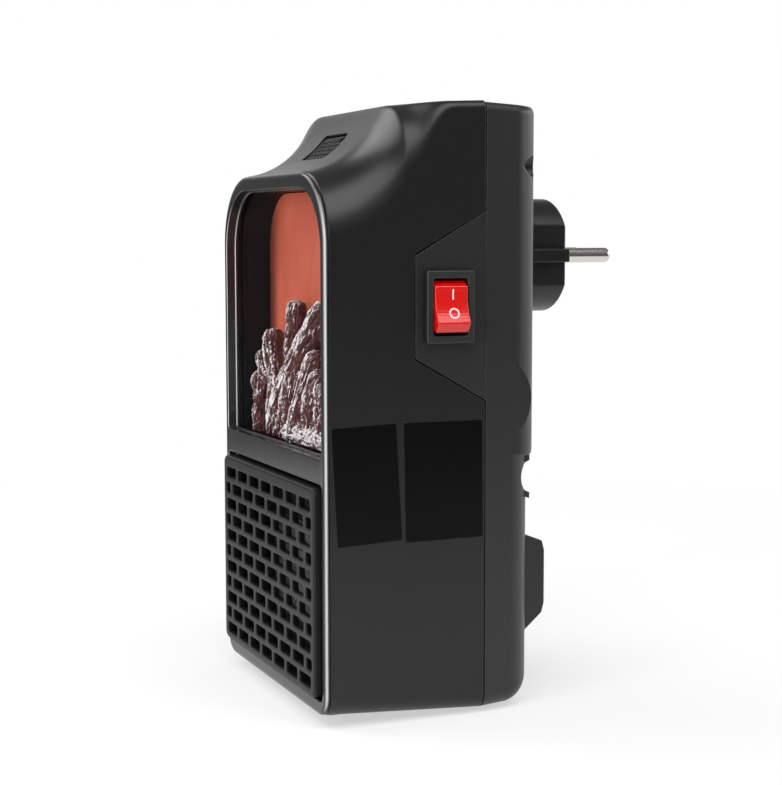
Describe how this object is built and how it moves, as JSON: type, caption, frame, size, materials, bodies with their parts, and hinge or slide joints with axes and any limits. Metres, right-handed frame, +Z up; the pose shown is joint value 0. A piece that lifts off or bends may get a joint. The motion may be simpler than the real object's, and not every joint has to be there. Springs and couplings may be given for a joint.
{
  "type": "fan heater",
  "caption": "Plug-in fan heater: tall black box with a flame window above a slotted outlet grille, a side rocker switch and a two-pin plug on its back.",
  "frame": {"origin": "middle of the front shell's flat standing pad, on the level that the heater stands on", "axes": "+Z up, -Y towards the window and the grille, +Y towards the plug, +X towards the side with the switch"},
  "size_m": [0.0962, 0.1152, 0.1809],
  "materials": {
    "black_abs": "satin black moulded housing",
    "dark_abs": "satin dark grey moulded frame",
    "grille_black": "matt black moulded grille",
    "clear": "clear smooth pane",
    "flame_orange": "translucent orange flame screen and lamps",
    "bark": "painted bark with pale ash",
    "lamp_red": "translucent red rocker",
    "nickel": "bright nickel plate",
    "aluminium": "bare rolled aluminium",
    "steel": "plain steel",
    "board_green": "green solder resist",
    "board_blue": "blue relay case",
    "heater_black": "black heat-resistant moulding",
    "part_grey": "dark grey moulding",
    "wire_blue": "blue insulation",
    "wire_brown": "brown insulation",
    "wire_red": "red insulation"
  },
  "bodies": {
    "housing": {"front_shell": "black_abs", "rear_shell": "black_abs", "front_bezel": "dark_abs", "window_pane": "clear", "firebox_liner": "heater_black", "flame_screen": "flame_orange", "log_bed": "bark", "outlet_grille": "grille_black", "top_vent": "grille_black", "air_duct": "heater_black", "heater_frame": "heater_black", "electrode_low": "aluminium", "electrode_high": "aluminium", "heating_bar_1": "aluminium", "heating_bar_2": "aluminium", "fin_pack_1": "aluminium", "fin_pack_2": "aluminium", "fin_pack_3": "aluminium", "fan_shroud": "heater_black", "fan_motor": "steel", "plug_body": "black_abs", "plug_retainer": "dark_abs", "plug_pin_1": "nickel", "plug_pin_2": "nickel", "plug_screw_1": "steel", "plug_screw_2": "steel", "switch_housing": "dark_abs", "switch_terminal_1": "nickel", "switch_terminal_2": "nickel", "switch_terminal_3": "nickel", "shell_screw_1": "steel", "shell_screw_2": "steel", "shell_screw_3": "steel", "shell_screw_4": "steel", "control_board": "board_green", "board_screw_1": "steel", "board_screw_2": "steel", "relay": "board_blue", "capacitor": "heater_black", "lamp_board": "board_green", "lamp_1": "flame_orange", "lamp_2": "flame_orange", "lamp_3": "flame_orange", "lamp_4": "flame_orange", "thermal_cutout": "heater_black", "wire_live": "wire_brown", "wire_switched": "wire_brown", "wire_neutral": "wire_blue", "wire_heater_low": "wire_blue", "wire_heater_high": "wire_brown", "wire_cutout": "wire_brown", "wire_motor_1": "wire_red", "wire_motor_2": "heater_black", "wire_lamps": "wire_red"},
    "rocker": {"switch_rocker": "lamp_red"},
    "fan": {"fan_impeller": "part_grey", "fan_shaft": "steel"}
  },
  "joints": [
    {"name": "rocker_tilt", "type": "hinge", "parent": "housing", "child": "rocker", "pos_m": [0.0463, 0.0109, 0.12135], "axis": [0, 1, 0], "range_deg": [0, 24]},
    {"name": "fan_spin", "type": "hinge", "parent": "housing", "child": "fan", "pos_m": [0, 0.0004, 0.0388], "axis": [0, 1, 0], "continuous": true}
  ]
}
